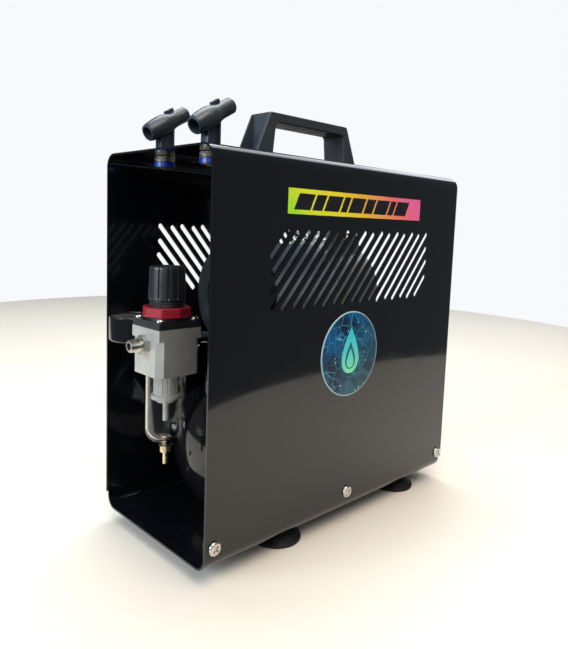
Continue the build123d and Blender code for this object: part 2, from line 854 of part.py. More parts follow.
web_x = case_x + 15
with BuildPart() as rotor:
    with BuildSketch(across(cap_x + 4)):
        with Locations((0, motor_z)):
            Circle(shaft_radius)
    extrude(amount=web_x - cap_x - 4)
    with BuildSketch(across(web_x)):
        with Locations((0, motor_z)):
            Circle(13)
    extrude(amount=8)
    with BuildSketch(across(web_x + 8)):
        with Locations((0, pin_z)):
            Circle(pin_radius)
    extrude(amount=13)
    with BuildSketch(across(can_x + 20)):
        with Locations((0, motor_z)):
            Circle(25)
    extrude(amount=40)
    with BuildSketch(across(cap_x + 13)):
        with Locations((0, motor_z)):
            Circle(40)
    extrude(amount=1.5)
    with BuildSketch(across(cap_x + 7)):
        with Locations((0, motor_z)):
            Circle(9)
            with PolarLocations(24, 9):
                Rectangle(32, 1.6)
    extrude(amount=6.5)
save(rotor.part, "rotor")

with BuildPart() as crankcase:
    with BuildSketch(across(case_x)):
        with Locations((0, motor_z)):
            Circle(motor_radius - 1)
    extrude(amount=case_end - case_x)
    with BuildSketch(upright(motor_z + 30)):
        with Locations((cylinder_x, 0)):
            Rectangle(50, 50)
    extrude(amount=16)
    with BuildSketch(across(case_x + 12)):
        with Locations((0, motor_z)):
            Circle(38)
    extrude(amount=case_end - case_x - 12, mode=Mode.SUBTRACT)
    with BuildSketch(upright(motor_z + 20)):
        with Locations((cylinder_x, 0)):
            Circle(18 + running)
    extrude(amount=30, mode=Mode.SUBTRACT)
    with BuildSketch(across(case_x)):
        with Locations((0, motor_z)):
            Circle(shaft_radius + running)
    extrude(amount=14, mode=Mode.SUBTRACT)
save(crankcase.part, "crankcase")

cover_bolt_places = [
    (42 * cos(angle * pi / 3 + pi / 6), motor_z + 42 * sin(angle * pi / 3 + pi / 6))
    for angle in range(6)
]
with BuildPart() as crankcase_cover:
    with BuildSketch(across(case_end)):
        with Locations((0, motor_z)):
            Circle(motor_radius - 1)
    extrude(amount=5)
    fillet(edges().filter_by(GeomType.CIRCLE).sort_by(Axis.X)[-1], radius=2)
    with BuildSketch(across(case_end)):
        with Locations(*cover_bolt_places):
            Circle(1.5 + running)
    extrude(amount=5, mode=Mode.SUBTRACT)
save(crankcase_cover.part, "crankcase_cover")

with BuildPart() as cylinder:
    with BuildSketch(upright(motor_z + 34)):
        with Locations((cylinder_x, 0)):
            Circle(18)
    extrude(amount=38)
    with BuildSketch(upright(motor_z + 46)):
        with Locations((cylinder_x, 0)):
            Rectangle(48, 48)
    extrude(amount=3)
    for step in range(4):
        with BuildSketch(upright(motor_z + 51 + 5 * step)):
            with Locations((cylinder_x, 0)):
                fin = Rectangle(48, 48)
            fillet(fin.vertices(), radius=6)
        extrude(amount=2)
    with BuildSketch(upright(motor_z + 34)):
        with Locations((cylinder_x, 0)):
            Circle(bore_radius)
    extrude(amount=38, mode=Mode.SUBTRACT)
save(cylinder.part, "cylinder")

head_bolt_places = [(cylinder_x + 20 * x, 20 * y) for x in (-1, 1) for y in (-1, 1)]
with BuildPart() as cylinder_head:
    with BuildSketch(upright(head_bottom)):
        with Locations((cylinder_x, 0)):
            block = Rectangle(48, 48)
        fillet(block.vertices(), radius=6)
    extrude(amount=head_top - head_bottom)
    with BuildSketch(upright(head_top)):
        with Locations((cylinder_x, 0)):
            with GridLocations(0, 6, 1, 5):
                Rectangle(30, 3)
    extrude(amount=-6, mode=Mode.SUBTRACT)
    with BuildSketch(upright(head_bottom + 6)):
        with Locations((cylinder_x, 0)):
            Rectangle(60, 60)
            Rectangle(43, 43, mode=Mode.SUBTRACT)
    extrude(amount=3, mode=Mode.SUBTRACT)
    with BuildSketch(across(cylinder_x + 24)):
        with Locations((0, head_bottom + 8)):
            Circle(5)
    extrude(amount=-8, mode=Mode.SUBTRACT)
    with BuildSketch(upright(head_top)):
        with Locations(*head_bolt_places):
            Circle(1.5 + running)
    extrude(amount=-8, mode=Mode.SUBTRACT)
save(cylinder_head.part, "cylinder_head")

with BuildPart() as pump_screws:
    pan_screws(across(case_end + 5), cover_bolt_places, 3.0, 2.0, 1.5, 5)
    pan_screws(upright(head_top), head_bolt_places, 3.0, 2.0, 1.5, 5)
save(pump_screws.part, "pump_screws")

with BuildPart() as piston:
    with BuildSketch(upright(motor_z + 42)):
        with Locations((cylinder_x, 0)):
            Circle(bore_radius - running)
    extrude(amount=18)
    with BuildSketch(upright(motor_z + 42)):
        with Locations((cylinder_x, 0)):
            Circle(12)
    extrude(amount=14.5, mode=Mode.SUBTRACT)
save(piston.part, "piston")

rod_top = motor_z + 42
with BuildPart() as connecting_rod:
    with BuildSketch(across(web_x + 8 + gap)):
        with Locations((0, pin_z)):
            Circle(9)
        with Locations((0, (pin_z + rod_top) / 2)):
            Rectangle(6, rod_top - pin_z)
        with Locations((0, rod_top)):
            Circle(5)
        with Locations((0, pin_z)):
            Circle(pin_radius + running, mode=Mode.SUBTRACT)
    extrude(amount=7)
save(connecting_rod.part, "connecting_rod")

with BuildPart() as intake_filter:
    with BuildSketch(Plane(origin=(cylinder_x, -24, head_bottom + 11), z_dir=(0, -1, 0))):
        Circle(6)
    extrude(amount=4)
    with BuildSketch(Plane(origin=(cylinder_x, -28, head_bottom + 11), z_dir=(0, -1, 0))):
        Circle(10)
    extrude(amount=14)
    fillet(edges().filter_by(GeomType.CIRCLE).sort_by(Axis.Y)[0], radius=1.5)
save(intake_filter.part, "intake_filter")

# ---------------------------------------------------------------- pump mounting
plate_bottom = floor + 126
plate_top = plate_bottom + 3
mount_top = plate_top + 14
mount_places = [(x, y) for x in (left + 112, left + 210) for y in (-34, 34)]
plate_x = left + 161
plate_length = 122.0

with BuildPart() as pump_bracket:
    with BuildSketch(upright(plate_bottom)):
        with Locations((plate_x, 0)):
            Rectangle(plate_length, 86)
        with Locations(*mount_places):
            Circle(2.6, mode=Mode.SUBTRACT)
    extrude(amount=3)
    for x in (left + 124, left + 198):
        with BuildSketch(across(x)):
            with Locations((0, tank_z + 48)):
                Rectangle(64, 30)
            with Locations((0, tank_z)):
                Circle(tank_radius + running, mode=Mode.SUBTRACT)
        extrude(amount=1.5, both=True)
save(pump_bracket.part, "pump_bracket")

with BuildPart() as rubber_mounts:
    for x, y in mount_places:
        with BuildSketch(Plane(origin=(x, y, 0), x_dir=(1, 0, 0), z_dir=(0, -1, 0))) as section:
            with BuildLine():
                Line((2.6, plate_top), (9, plate_top))
                ThreePointArc((9, plate_top), (7, plate_top + 7), (9, mount_top))
                Polyline((9, mount_top), (2.6, mount_top), (2.6, plate_top))
            make_face()
        revolve(section.sketch, axis=Axis((x, y, 0), (0, 0, 1)))
save(rubber_mounts.part, "rubber_mounts")

with BuildPart() as motor_cradle:
    with BuildSketch(upright(mount_top)):
        with Locations((plate_x, 0)):
            Rectangle(plate_length, 86)
        with Locations(*mount_places):
            Circle(2.6, mode=Mode.SUBTRACT)
    extrude(amount=3)
    for x in (left + 124, left + 160):
        with BuildSketch(across(x)):
            with Locations((0, mount_top + 9)):
                Rectangle(60, 18)
            with Locations((0, motor_z)):
                Circle(motor_radius + running, mode=Mode.SUBTRACT)
        extrude(amount=1.5, both=True)
save(motor_cradle.part, "motor_cradle")

with BuildPart() as mount_bolts:
    pan_screws(upright(mount_top + 3), mount_places, 4.6, 3.2, 2.5, 23)
save(mount_bolts.part, "mount_bolts")

# ---------------------------------------------------------------- pipes, switch, valve
pipe_radius = 5.0
tube_radius = 3.5
head_port_z = head_bottom + 8

with BuildPart() as inlet_pipe:
    with BuildLine() as route:
        FilletPolyline(
            (regulator_x + body_half - 8, 0, port_z),
            (inlet_port_x, 0, port_z),
            (inlet_port_x, 0, port_top - 8),
            radius=14,
        )
    with BuildSketch(Plane(route.line @ 0, z_dir=route.line % 0)):
        Circle(4.85)
    sweep()
    with BuildSketch(inlet_plane):
        Circle(7.6)
    extrude(amount=9)
    with BuildSketch(upright(port_top)):
        with Locations((inlet_port_x, 0)):
            RegularPolygon(8, 6, major_radius=False)
    extrude(amount=9)
save(inlet_pipe.part, "inlet_pipe")

with BuildPart() as discharge_tube:
    with BuildLine() as route:
        FilletPolyline(
            (cylinder_x + 24 - 8, 0, head_port_z),
            (check_port_x, 0, head_port_z),
            (check_port_x, 0, port_top + 14),
            radius=16,
        )
    with BuildSketch(Plane(route.line @ 0, z_dir=route.line % 0)):
        Circle(tube_radius)
    sweep()
    with BuildSketch(across(cylinder_x + 24)):
        with Locations((0, head_port_z)):
            RegularPolygon(6, 6, major_radius=False)
    extrude(amount=6)
    with BuildSketch(upright(port_top)):
        with Locations((check_port_x, 0)):
            RegularPolygon(8, 6, major_radius=False)
    extrude(amount=14)
    with BuildSketch(upright(port_top)):
        with Locations((check_port_x, 0)):
            Circle(4.9)
    extrude(amount=-8)
save(discharge_tube.part, "discharge_tube")

manifold_top = port_top + 14
relief_x = manifold_x + 9
with BuildPart() as manifold:
    with BuildSketch(upright(port_top)):
        with Locations((manifold_x, 0)):
            Rectangle(18, 18)
    extrude(amount=14)
    with BuildSketch(upright(port_top)):
        with Locations((manifold_x, 0)):
            Circle(4.9)
    extrude(amount=-8)
    with BuildSketch(across(relief_x)):
        with Locations((0, port_top + 7)):
            RegularPolygon(6, 6, major_radius=False)
    extrude(amount=8)
    with BuildSketch(across(relief_x + 8)):
        with Locations((0, port_top + 7)):
            Circle(2 + running)
    extrude(amount=-18, mode=Mode.SUBTRACT)
save(manifold.part, "manifold")

with BuildPart() as pressure_switch:
    with BuildSketch(upright(manifold_top)):
        with Locations((manifold_x, 0)):
            case = Rectangle(34, 46)
        fillet(case.vertices(), radius=3)
    extrude(amount=40)
    fillet(faces().sort_by(Axis.Z)[-1].edges(), radius=2)
save(pressure_switch.part, "pressure_switch")

with BuildPart() as relief_ring:
    with BuildSketch(across(relief_x - 6)):
        with Locations((0, port_top + 7)):
            Circle(2)
    extrude(amount=18)
    with BuildSketch(Plane(origin=(relief_x + 20, 0, port_top + 7), z_dir=(0, 0, 1))):
        Circle(9)
        Circle(7.2, mode=Mode.SUBTRACT)
    extrude(amount=0.9, both=True)
save(relief_ring.part, "relief_ring")

# ---------------------------------------------------------------- mains switch panel
switch_z = floor + 124
gland_z = floor + 96
panel_top = floor + 148
rocker_tilt = 9.0
rocker_pin = 1.2
rocker_plane = Plane(
    origin=(panel_x + sheet - 2, panel_y, switch_z),
    x_dir=(cos(radians(rocker_tilt)), 0, sin(radians(rocker_tilt))),
    z_dir=(0, -1, 0),
)

with BuildPart() as switch_panel:
    with BuildSketch(across(panel_x)):
        with Locations((panel_y, (floor + sheet + panel_top) / 2)):
            plate = Rectangle(panel_width, panel_top - floor - sheet)
        fillet(plate.vertices().group_by(Axis.Y)[-1], radius=4)
        with Locations((panel_y, switch_z)):
            Rectangle(13.2, 19.4, mode=Mode.SUBTRACT)
        with Locations((panel_y, gland_z)):
            Circle(6, mode=Mode.SUBTRACT)
    extrude(amount=sheet)
    with BuildSketch(upright(floor + sheet)):
        with Locations((panel_x - 8, panel_y)):
            Rectangle(16, panel_width)
    extrude(amount=sheet)
save(switch_panel.part, "switch_panel")

with BuildPart() as rocker_switch:
    with BuildSketch(across(panel_x + sheet)):
        with Locations((panel_y, switch_z)):
            bezel = Rectangle(15, 21)
        fillet(bezel.vertices(), radius=1)
    extrude(amount=2)
    with BuildSketch(across(panel_x + sheet)):
        with Locations((panel_y, switch_z)):
            Rectangle(13, 19.2)
    extrude(amount=-18)
    with BuildSketch(across(panel_x + sheet + 2)):
        with Locations((panel_y, switch_z)):
            Rectangle(10.4, 16.4)
    extrude(amount=-9, mode=Mode.SUBTRACT)
    with BuildSketch(rocker_plane):
        Circle(rocker_pin + running)
    extrude(amount=6.1, both=True, mode=Mode.SUBTRACT)
save(rocker_switch.part, "rocker_switch")

with BuildPart() as rocker:
    with BuildSketch(rocker_plane):
        with BuildLine():
            Polyline((-2, -6.5), (4.5, -7), (3.4, 0), (4.5, 7), (-2, 6.5), close=True)
        make_face()
    extrude(amount=5, both=True)
    with BuildSketch(rocker_plane):
        Circle(rocker_pin)
    extrude(amount=6, both=True)
save(rocker.part, "rocker")

with BuildPart() as cord_gland:
    with BuildSketch(across(panel_x + sheet)):
        with Locations((panel_y, gland_z)):
            Circle(8)
    extrude(amount=7, taper=12)
    with BuildSketch(across(panel_x)):
        with Locations((panel_y, gland_z)):
            Circle(5.9)
    extrude(amount=sheet)
    with BuildSketch(across(panel_x)):
        with Locations((panel_y, gland_z)):
            Circle(8)
    extrude(amount=-4)
    with BuildSketch(across(panel_x - 4)):
        with Locations((panel_y, gland_z)):
            Circle(3.3)
    extrude(amount=20, mode=Mode.SUBTRACT)
save(cord_gland.part, "cord_gland")
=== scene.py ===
"""Looks for the airbrush compressor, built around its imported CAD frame. Metres."""

import json
from math import atan2, cos, pi, radians, sin

import bmesh
import bpy
from mathutils import Matrix, Vector


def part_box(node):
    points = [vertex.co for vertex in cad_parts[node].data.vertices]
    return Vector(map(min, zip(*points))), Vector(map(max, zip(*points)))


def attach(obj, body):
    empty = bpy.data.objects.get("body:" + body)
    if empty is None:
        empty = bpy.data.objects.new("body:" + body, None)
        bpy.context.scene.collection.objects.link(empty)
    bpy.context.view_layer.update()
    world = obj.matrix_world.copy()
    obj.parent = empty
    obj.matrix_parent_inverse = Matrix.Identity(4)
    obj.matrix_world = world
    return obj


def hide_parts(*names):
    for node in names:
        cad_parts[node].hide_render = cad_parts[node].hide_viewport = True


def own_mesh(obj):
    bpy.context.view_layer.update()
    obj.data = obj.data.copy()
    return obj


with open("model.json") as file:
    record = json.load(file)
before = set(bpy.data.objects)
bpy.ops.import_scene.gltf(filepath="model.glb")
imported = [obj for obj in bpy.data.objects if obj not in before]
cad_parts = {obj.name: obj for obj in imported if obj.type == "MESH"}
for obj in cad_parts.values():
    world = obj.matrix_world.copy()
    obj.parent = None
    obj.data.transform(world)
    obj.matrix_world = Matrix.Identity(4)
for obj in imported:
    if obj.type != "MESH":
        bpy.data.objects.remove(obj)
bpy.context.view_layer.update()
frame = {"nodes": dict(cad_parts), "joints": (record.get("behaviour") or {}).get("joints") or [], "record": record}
nodes = frame["nodes"]
slots = {part["node"]: part["material_slot"] for part in frame["record"]["subparts"]}
body_of = {n: b for b, names in frame["record"]["behaviour"]["bodies"].items() for n in names}

X_AXIS = Vector((1, 0, 0))
Z_AXIS = Vector((0, 0, 1))


# ---------------------------------------------------------------- materials
class Finish:
    """A node material: a Principled shader with helpers for what feeds it."""

    def __init__(self, name, color, roughness, metallic=0.0, **sockets):
        self.material = bpy.data.materials.new(name)
        self.material.use_nodes = True
        self.tree = self.material.node_tree
        self.shader = self.tree.nodes["Principled BSDF"]
        self.shader.inputs["Base Color"].default_value = (*color, 1)
        self.shader.inputs["Roughness"].default_value = roughness
        self.shader.inputs["Metallic"].default_value = metallic
        for socket, value in sockets.items():
            self.shader.inputs[socket.replace("_", " ").title()].default_value = value
        self.place = self.tree.nodes.new("ShaderNodeTexCoord").outputs["Object"]
        self.height = None

    def node(self, kind, **inputs):
        made = self.tree.nodes.new(kind)
        for socket, value in inputs.items():
            key = socket.replace("_", " ").title()
            self.feed(made, key, value)
        return made

    def feed(self, made, key, value):
        if isinstance(value, bpy.types.NodeSocket):
            self.tree.links.new(value, made.inputs[key])
        else:
            made.inputs[key].default_value = value

    def noise(self, scale, detail=4.0, rough=0.6, place=None, stretch=None):
        """Fractal noise from 0 to 1 at that scale per metre."""
        place = place or self.place
        if stretch:
            mapped = self.node("ShaderNodeMapping", vector=place, scale=stretch)
            place = mapped.outputs["Vector"]
        made = self.node("ShaderNodeTexNoise", vector=place, scale=scale, detail=detail)
        made.inputs["Roughness"].default_value = rough
        return made.outputs["Fac"]

    def ramp(self, value, low, high, to_low=0.0, to_high=1.0):
        """Maps value from low..high to to_low..to_high, clamped."""
        made = self.tree.nodes.new("ShaderNodeMapRange")
        self.feed(made, "Value", value)
        for key, number in (("From Min", low), ("From Max", high), ("To Min", to_low), ("To Max", to_high)):
            self.feed(made, key, number)
        return made.outputs["Result"]

    def math(self, operation, first, second=0.0):
        made = self.tree.nodes.new("ShaderNodeMath")
        made.operation = operation
        for index, value in enumerate((first, second)):
            if isinstance(value, bpy.types.NodeSocket):
                self.tree.links.new(value, made.inputs[index])
            else:
                made.inputs[index].default_value = value
        return made.outputs[0]

    def mix(self, factor, first, second):
        """A colour between first and second."""
        made = self.tree.nodes.new("ShaderNodeMix")
        made.data_type = "RGBA"
        for index, value in ((0, factor), (6, first), (7, second)):
            if isinstance(value, bpy.types.NodeSocket):
                self.tree.links.new(value, made.inputs[index])
            elif index == 0:
                made.inputs[index].default_value = value
            else:
                made.inputs[index].default_value = (*value, 1)
        return made.outputs[2]

    def color(self, value):
        self.tree.links.new(value, self.shader.inputs["Base Color"])

    def rough(self, value):
        self.tree.links.new(value, self.shader.inputs["Roughness"])

    def bump(self, value, strength, distance):
        """Adds a bump on top of those made before."""
        made = self.node("ShaderNodeBump", strength=strength, distance=distance)
        self.tree.links.new(value, made.inputs["Height"])
        if self.height:
            self.tree.links.new(self.height, made.inputs["Normal"])
        self.height = made.outputs["Normal"]
        self.tree.links.new(self.height, self.shader.inputs["Normal"])

    def mottle(self, color, other, scale, low=0.35, high=0.65):
        """Colour that drifts between two tones."""
        self.color(self.mix(self.ramp(self.noise(scale), low, high), color, other))


def gloss_paint(name, color):
    """Glossy black coating on sheet: faint orange peel, a slow ripple, and dust."""
    made = Finish(name, color, 0.07, coat_weight=0.25, coat_roughness=0.03)
    made.shader.inputs["IOR"].default_value = 1.45
    dust = made.ramp(made.noise(2600, 2), 0.66, 0.8)
    made.color(made.mix(made.math("MULTIPLY", dust, 0.25), color, (0.08, 0.08, 0.085)))
    made.rough(made.ramp(made.noise(30), 0.3, 0.75, 0.045, 0.13))
    made.bump(made.noise(7, 1), 0.35, 0.0012)
    made.bump(made.noise(700, 2), 0.05, 0.0001)
    return made.material


def moulded_plastic(name, color, other, roughness=0.42, grain=2200, depth=0.00012):
    """Moulded plastic with a fine spark-eroded grain."""
    made = Finish(name, color, roughness)
    made.mottle(color, other, 60)
    made.rough(made.ramp(made.noise(140), 0.3, 0.7, roughness - 0.07, roughness + 0.09))
    made.bump(made.noise(grain, 3), 0.35, depth)
    return made.material


def rubber(name):
    """Matt black rubber, unevenly worn."""
    made = Finish(name, (0.005, 0.006, 0.007), 0.6)
    made.shader.inputs["Specular IOR Level"].default_value = 0.3
    made.mottle((0.004, 0.005, 0.006), (0.009, 0.010, 0.012), 90)
    made.rough(made.ramp(made.noise(220), 0.3, 0.7, 0.45, 0.72))
    made.bump(made.noise(1800, 3), 0.3, 0.0001)
    return made.material


def plated(name, color, other, roughness):
    """Bright plated metal with faint turning marks and patches of haze."""
    made = Finish(name, color, roughness, 1.0)
    made.mottle(color, other, 160)
    made.rough(made.ramp(made.noise(420), 0.3, 0.72, roughness * 0.7, roughness * 1.7))
    made.bump(made.noise(1500, 2, stretch=(0.3, 1, 1)), 0.12, 0.00005)
    return made.material


def cast_metal(name):
    """Die-cast aluminium, lightly blasted."""
    made = Finish(name, (0.58, 0.585, 0.59), 0.34, 0.6)
    made.mottle((0.62, 0.59, 0.55), (0.50, 0.48, 0.45), 45)
    made.rough(made.ramp(made.noise(300), 0.3, 0.7, 0.3, 0.46))
    made.bump(made.noise(1400, 4), 0.35, 0.00014)
    return made.material


def brushed_steel(name):
    """Rolled steel, brushed round the motor's axis."""
    made = Finish(name, (0.72, 0.75, 0.79), 0.42, 0.75)
    streaks = made.noise(900, 3, stretch=(1, 0.03, 0.03))
    made.color(made.mix(made.ramp(streaks, 0.3, 0.7), (0.80, 0.83, 0.87), (0.62, 0.65, 0.70)))
    made.rough(made.ramp(streaks, 0.3, 0.7, 0.34, 0.5))
    made.bump(streaks, 0.15, 0.00006)
    return made.material


def clear_plastic(name):
    """Clear polycarbonate with hair scratches and a light haze."""
    made = Finish(name, (0.9, 0.92, 0.91), 0.04, transmission_weight=1.0)
    made.shader.inputs["IOR"].default_value = 1.45
    made.mottle((0.88, 0.87, 0.84), (0.78, 0.78, 0.76), 70)
    scratches = made.ramp(made.noise(900, 2, stretch=(1, 1, 0.05)), 0.62, 0.72)
    made.rough(made.ramp(scratches, 0, 1, 0.03, 0.12))
    made.bump(made.noise(120, 2), 0.08, 0.0002)
    return made.material


FINISHES = {
    "black_sheet": gloss_paint("gloss_black_sheet", (0.0035, 0.004, 0.006)),
    "tank_paint": gloss_paint("gloss_black_tank", (0.004, 0.0045, 0.006)),
    "handle_plastic": moulded_plastic("handle_plastic", (0.026, 0.034, 0.043), (0.035, 0.044, 0.055)),
    "holder_plastic": moulded_plastic(
        "holder_plastic", (0.014, 0.022, 0.032), (0.026, 0.037, 0.05), 0.3, 1500, 0.00022
    ),
    "black_plastic": moulded_plastic("black_plastic", (0.008, 0.009, 0.011), (0.013, 0.0145, 0.017), 0.38),
    "rubber": rubber("rubber"),
    "zinc_steel": plated("zinc_steel", (0.5, 0.5, 0.5), (0.36, 0.39, 0.44), 0.26),
    "nickel": plated("nickel", (0.66, 0.62, 0.56), (0.52, 0.49, 0.45), 0.17),
    "cast_aluminium": cast_metal("cast_aluminium"),
    "motor_steel": brushed_steel("motor_steel"),
    "red_plastic": moulded_plastic("red_plastic", (0.33, 0.003, 0.016), (0.25, 0.002, 0.012), 0.4),
    "blue_plastic": moulded_plastic("blue_plastic", (0.006, 0.05, 0.5), (0.004, 0.035, 0.36), 0.28),
    "clear_plastic": clear_plastic("clear_plastic"),
    "white_plastic": moulded_plastic("white_plastic", (0.86, 0.84, 0.80), (0.78, 0.76, 0.72), 0.4),
    "brass": plated("brass", (0.78, 0.66, 0.46), (0.64, 0.52, 0.34), 0.25),
    "spring_steel": plated("spring_steel", (0.80, 0.74, 0.64), (0.66, 0.62, 0.56), 0.3),
    "dial_print": moulded_plastic("dial_print", (0.8, 0.8, 0.78), (0.72, 0.72, 0.7), 0.5),
}


def paint(piece, material):
    """Gives a piece this material and no other."""
    piece.data.materials.clear()
    piece.data.materials.append(material)


for node, piece in nodes.items():
    if slots[node] in FINISHES:  # the two stickers get prints of their own further down
        paint(piece, FINISHES[slots[node]])
paint(nodes["inlet_pipe"], plated("bright_fitting", (0.72, 0.76, 0.84), (0.6, 0.66, 0.76), 0.13))


# ---------------------------------------------------------------- mesh helpers
def finish_piece(mesh_maker, name, material, body, smooth=35):
    """Makes an object from a bmesh, shades it, and lets it ride on a body."""
    bmesh.ops.recalc_face_normals(mesh_maker, faces=mesh_maker.faces)
    mesh = bpy.data.meshes.new(name)
    mesh_maker.to_mesh(mesh)
    mesh_maker.free()
    piece = bpy.data.objects.new(name, mesh)
    bpy.context.scene.collection.objects.link(piece)
    mesh.shade_smooth()
    mesh.set_sharp_from_angle(angle=radians(smooth))
    paint(piece, material)
    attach(piece, body)
    return piece


def turned(mesh_maker, profile, origin, axis, steps=72, radius_at=None):
    """Revolves profile, a list of (along, radius), round axis through origin. A closed
    profile repeats its first point. radius_at(along, radius, angle) may vary the radius."""
    axis = Vector(axis).normalized()
    side = axis.orthogonal().normalized()
    if abs(axis.z) > 0.9:
        side = X_AXIS.copy()
    other = axis.cross(side)
    rings = []
    for along, radius in profile:
        ring = []
        for step in range(steps if radius > 0 else 1):
            angle = 2 * pi * step / steps
            reach = radius_at(along, radius, angle) if radius_at else radius
            out = side * cos(angle) * reach + other * sin(angle) * reach
            ring.append(mesh_maker.verts.new(Vector(origin) + axis * along + out))
        rings.append(ring)
    if profile[0] == profile[-1]:
        for vert in rings[-1]:
            mesh_maker.verts.remove(vert)
        rings[-1] = rings[0]
    for first, second in zip(rings, rings[1:]):
        for step in range(steps):
            after = (step + 1) % steps
            loop = [first[step % len(first)], first[after % len(first)]]
            loop += [second[after % len(second)], second[step % len(second)]]
            corners = list(dict.fromkeys(loop))
            if len(corners) > 2:
                mesh_maker.faces.new(corners)


def prism(mesh_maker, outline, origin, right, up, depth, bevel=0.0, segments=3):
    """Extrudes an outline drawn along right and up, by depth to each side of origin."""
    right, up = Vector(right), Vector(up)
    normal = right.cross(up).normalized()
    made = []
    for side in (-1, 1):
        ring = [Vector(origin) + right * x + up * y + normal * depth * side for x, y in outline]
        made.append([mesh_maker.verts.new(point) for point in ring])
    faces = [mesh_maker.faces.new(made[0][::-1]), mesh_maker.faces.new(made[1])]
    for index in range(len(outline)):
        after = (index + 1) % len(outline)
        faces.append(mesh_maker.faces.new((made[0][index], made[0][after], made[1][after], made[1][index])))
    if bevel:
        edges = list(dict.fromkeys(edge for face in faces for edge in face.edges))
        bmesh.ops.bevel(
            mesh_maker, geom=edges, offset=bevel, segments=segments, affect="EDGES", profile=0.5
        )


def box_outline(width, height, x=0.0, y=0.0):
    """A rectangle's corners, centred on x and y."""
    return [
        (x - width / 2, y - height / 2),
        (x + width / 2, y - height / 2),
        (x + width / 2, y + height / 2),
        (x - width / 2, y + height / 2),
    ]


def joint(name):
    """The frame's entry for a joint."""
    return next(j for j in frame["joints"] if j["name"] == name)


def centre_of(node):
    """The middle of a node's box."""
    low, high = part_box(node)
    return (low + high) / 2


# ---------------------------------------------------------------- airbrush holders
HOLDER_TILT = atan2(22.5, 40)
HOLDER_TURN = {"front": radians(6), "rear": radians(1.5)}
CRADLE_LENGTH = 0.0430
CRADLE_HEIGHT = 0.026  # of its middle above the roof
CRADLE_OFFSET = 0.0015  # of its middle ahead of the stem
WAIST = -0.0050  # along the cradle, where it is thickest
WAIST_RADIUS = 0.0086
MOUTH_RADIUS = 0.0068
TAIL_RADIUS = 0.0063
MOUTH_BORE = 0.0050
TAIL_BORE = 0.0046
ROUNDING = 0.0004
SHANK_RADIUS = 0.0058
WASHER_RADIUS = 0.0081
STUD_RADIUS = 0.0030


def cradle_radius(along):
    """Outer radius of the cradle: swelling from the mouth to its waist, slim behind it."""
    if along < WAIST:
        share = (WAIST - along) / (CRADLE_LENGTH / 2 + WAIST)
        return WAIST_RADIUS - (WAIST_RADIUS - MOUTH_RADIUS) * share * share
    share = min(1, (along - WAIST) / (CRADLE_LENGTH / 2 - WAIST) / 0.55)
    return WAIST_RADIUS - (WAIST_RADIUS - TAIL_RADIUS) * share * share * (3 - 2 * share)


def cradle(made, middle, along):
    """A tube open at both ends, with rounded rims."""
    half = CRADLE_LENGTH / 2
    places = [-half + CRADLE_LENGTH * step / 24 for step in range(25)]
    outer = [(place, cradle_radius(place)) for place in places]
    outer[0] = (-half + 0.0005, outer[0][1])
    outer[-1] = (half - 0.0005, outer[-1][1])
    mouth = [
        (-half, cradle_radius(-half) - ROUNDING),
        (-half + 0.0001, MOUTH_BORE + ROUNDING),
        (-half + 0.0008, MOUTH_BORE),
    ]
    tail = [
        (half, cradle_radius(half) - ROUNDING),
        (half - 0.0001, TAIL_BORE + ROUNDING),
        (half - 0.0009, TAIL_BORE),
    ]
    bore = [(0.0100, TAIL_BORE), (-0.0080, MOUTH_BORE)]
    turned(made, outer + tail + bore + mouth[::-1] + outer[:1], middle, along, 80)


def stem_and_foot(made, stem, ahead):
    """A stem of H section on a thin foot plate."""
    height, web, flange = 0.0215, 0.0018, 0.0041
    middle = stem + Z_AXIS * 0.0110
    prism(made, box_outline(0.0125, height), middle, ahead, Z_AXIS, web)
    for side in (-1, 1):
        edge = box_outline(0.0018, height, side * 0.0058)
        prism(made, edge, middle, ahead, Z_AXIS, flange, 0.0003, 2)
    prism(made, box_outline(0.0170, 0.0016), stem + Z_AXIS * 0.0009, ahead, Z_AXIS, flange, 0.0003, 2)


def shank(made, stem, low):
    """The round shank below the roof, its washer, and the end of its stud at low."""
    washer = low + 0.0022 - 0.0001
    profile = [
        (0, 0.0),
        (0, SHANK_RADIUS),
        (washer, SHANK_RADIUS),
        (washer, WASHER_RADIUS - 0.0002),
        (washer - 0.0002, WASHER_RADIUS),
        (washer - 0.0007, WASHER_RADIUS),
        (washer - 0.0008, WASHER_RADIUS - 0.0005),
        (washer - 0.0008, STUD_RADIUS),
        (low + ROUNDING, STUD_RADIUS),
        (low, STUD_RADIUS - ROUNDING),
        (low, 0),
    ]
    turned(made, profile, stem, Z_AXIS, 48)


def airbrush_holder(end):
    """A holder moulded in one piece: cradle, stem, foot, a tab on top, and the shank."""
    stem = Vector(joint(f"holder_{end}_swivel")["pos_m"])
    node = f"airbrush_holder_{end}"
    turn = HOLDER_TURN[end]
    ahead = Vector((cos(turn), sin(turn), 0))
    along = ahead * cos(HOLDER_TILT) + Z_AXIS * sin(HOLDER_TILT)
    over = Z_AXIS * cos(HOLDER_TILT) - ahead * sin(HOLDER_TILT)
    middle = stem + ahead * CRADLE_OFFSET + Z_AXIS * CRADLE_HEIGHT
    made = bmesh.new()
    cradle(made, middle, along)
    stem_and_foot(made, stem, ahead)
    tab = middle + over * 0.0080 + along * 0.0065
    prism(made, box_outline(0.0090, 0.0028), tab, along, over, 0.0015, 0.0004, 2)
    shank(made, stem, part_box(node)[0].z - stem.z)
    finish = FINISHES["holder_plastic"]
    piece = finish_piece(made, f"{node}_moulding", finish, body_of[node], 40)
    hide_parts(node)


WIRE = 0.00035  # radius of the springs' wire
WIRE_SIDES = 10
SPRING_TURNS = 4


